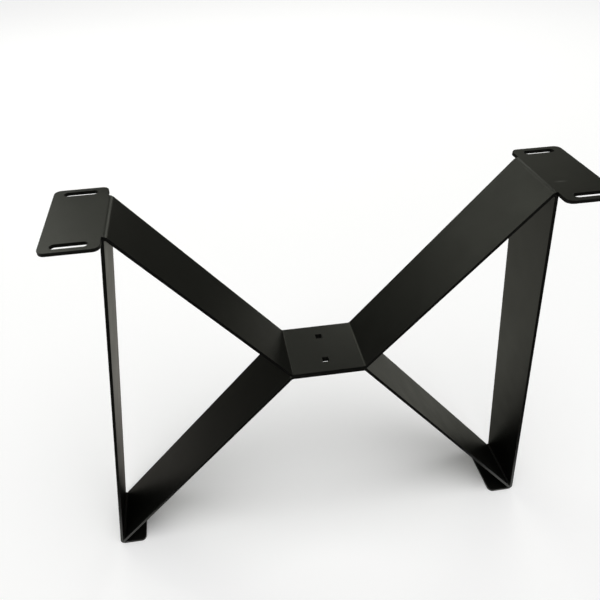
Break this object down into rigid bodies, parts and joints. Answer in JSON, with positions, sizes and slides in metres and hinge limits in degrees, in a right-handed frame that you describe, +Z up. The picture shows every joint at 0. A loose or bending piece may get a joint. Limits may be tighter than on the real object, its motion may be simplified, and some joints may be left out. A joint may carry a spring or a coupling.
{
  "type": "table leg",
  "caption": "X-shaped table leg folded and welded from flat steel strip, with slotted top plates, leaning uprights and turned-in feet, in black powder coat.",
  "frame": {"origin": "on the floor, midway between the two feet and midway between the front and rear edges", "axes": "+X along the leg's width towards the right foot, +Y from the front edges to the rear ones, +Z up"},
  "size_m": [0.8524, 0.17, 0.72],
  "materials": {
    "powder_coat": "satin black powder coat with a fine even texture"
  },
  "bodies": {
    "root": {"upper_strip": "powder_coat", "lower_strip": "powder_coat", "left_upright": "powder_coat", "right_upright": "powder_coat", "left_top_weld": "powder_coat", "right_top_weld": "powder_coat", "left_foot_weld": "powder_coat", "right_foot_weld": "powder_coat"}
  },
  "joints": []
}
